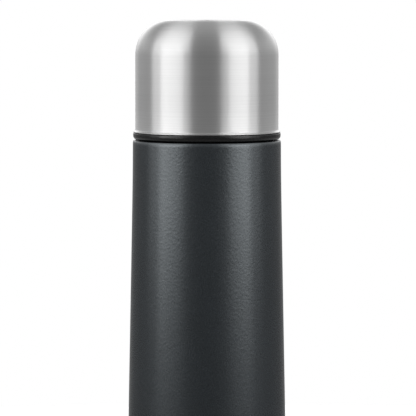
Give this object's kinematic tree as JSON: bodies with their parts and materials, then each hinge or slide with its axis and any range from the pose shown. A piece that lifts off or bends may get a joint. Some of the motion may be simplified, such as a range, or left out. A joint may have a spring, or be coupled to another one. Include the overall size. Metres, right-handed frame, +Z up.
{
  "type": "vacuum flask",
  "caption": "Slim double-walled vacuum flask with a tapered textured body, a push-button pouring stopper and a domed steel cup for a cap.",
  "frame": {"origin": "centre of the foot's standing ring, on the surface that the flask stands on", "axes": "+Z up along the flask's axis, +X towards the stopper's release pad, -X towards its pouring slot"},
  "size_m": [0.0734, 0.0734, 0.2504],
  "materials": {
    "powder_coat": "dark cool grey powder coat with a fine hammered texture",
    "brushed_steel": "stainless steel brushed round its axis",
    "bright_steel": "plain drawn stainless steel",
    "copper": "bright copper foil",
    "solder_glass": "dark fused solder glass",
    "getter_alloy": "dull sintered pellet",
    "black_plastic": "satin black polypropylene",
    "grey_plastic": "satin dark grey plastic",
    "button_plastic": "satin mid grey plastic",
    "white_foam": "white closed-cell foam",
    "clear_silicone": "translucent silicone"
  },
  "bodies": {
    "flask": {"outer_shell": "powder_coat", "inner_flask": "bright_steel", "copper_foil": "copper", "vacuum_base": "bright_steel", "port_seal": "solder_glass", "getter": "getter_alloy", "getter_holder": "bright_steel", "base_cover": "brushed_steel", "neck_collar": "black_plastic"},
    "stopper_seal": {"stopper_gasket": "clear_silicone"},
    "stopper": {"stopper_housing": "black_plastic", "insulation_ring": "white_foam", "stem_guide": "grey_plastic", "stopper_cover": "black_plastic", "button_spring": "bright_steel"},
    "button": {"pour_button": "button_plastic", "valve_stem": "bright_steel", "valve_plug": "grey_plastic", "valve_seal": "clear_silicone"},
    "latch": {"latch_slider": "button_plastic"},
    "cup_seal": {"cup_gasket": "clear_silicone"},
    "cup": {"cup_shell": "brushed_steel", "cup_liner": "black_plastic"}
  },
  "joints": [
    {"name": "stopper_rise", "type": "slide", "parent": "flask", "child": "stopper_seal", "axis": [0, 0, 1], "range_m": [0, 0.0481]},
    {"name": "stopper_turn", "type": "hinge", "parent": "stopper_seal", "child": "stopper", "pos_m": [0, 0, 0.218], "axis": [0, 0, 1], "range_deg": [0, 2160]},
    {"name": "button_press", "type": "slide", "parent": "stopper", "child": "button", "axis": [0, 0, 1], "range_m": [-0.004, 0], "stiffness_N_per_m": 400, "springref_m": 0.004, "deforming": ["button_spring"]},
    {"name": "latch_release", "type": "slide", "parent": "stopper", "child": "latch", "axis": [1, 0, 0], "range_m": [-0.0015, 0], "stiffness_N_per_m": 500, "springref_m": 0.001},
    {"name": "cup_rise", "type": "slide", "parent": "stopper", "child": "cup_seal", "axis": [0, 0, 1], "range_m": [0, 0.0561]},
    {"name": "cup_turn", "type": "hinge", "parent": "cup_seal", "child": "cup", "pos_m": [0, 0, 0.202], "axis": [0, 0, 1], "range_deg": [0, 2520]}
  ],
  "couplings": [
    {"joint": "stopper_rise", "follows": "stopper_turn", "m_per_rad": 0.0012732},
    {"joint": "cup_rise", "follows": "cup_turn", "m_per_rad": 0.0012732}
  ]
}
